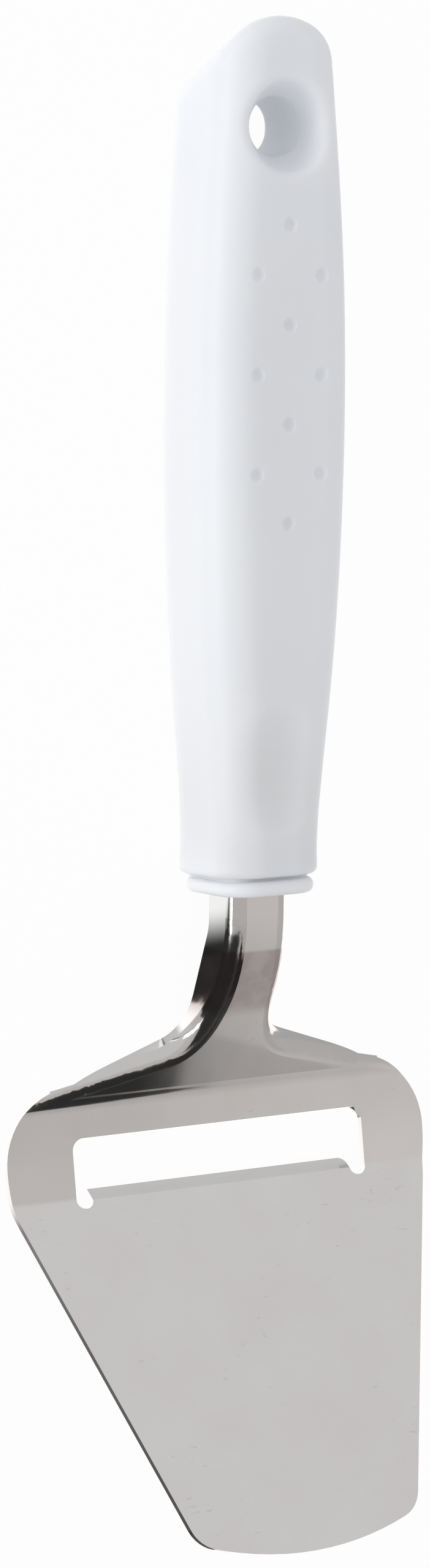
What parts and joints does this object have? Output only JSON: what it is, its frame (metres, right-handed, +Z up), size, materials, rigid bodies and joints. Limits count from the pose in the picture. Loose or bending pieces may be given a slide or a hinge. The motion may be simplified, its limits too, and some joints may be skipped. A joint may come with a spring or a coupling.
{
  "type": "cheese slicer",
  "caption": "Hand-held cheese slicer: a bent stamped steel blade with a slot and cutting lip, a channel neck, and a moulded grip with a hanging hole.",
  "frame": {"origin": "middle of the slicer's length and width, on the table it lies on", "axes": "+X across the blade, +Y along the handle towards its butt, +Z up from the table on the cutting side"},
  "size_m": [0.071, 0.219, 0.0312],
  "materials": {
    "blade_steel": "fine brushed stainless steel",
    "handle_plastic": "satin moulded white",
    "plug_plastic": "satin moulded white"
  },
  "bodies": {
    "root": {"blade": "blade_steel", "handle": "handle_plastic", "tang_plug": "plug_plastic"}
  },
  "joints": []
}
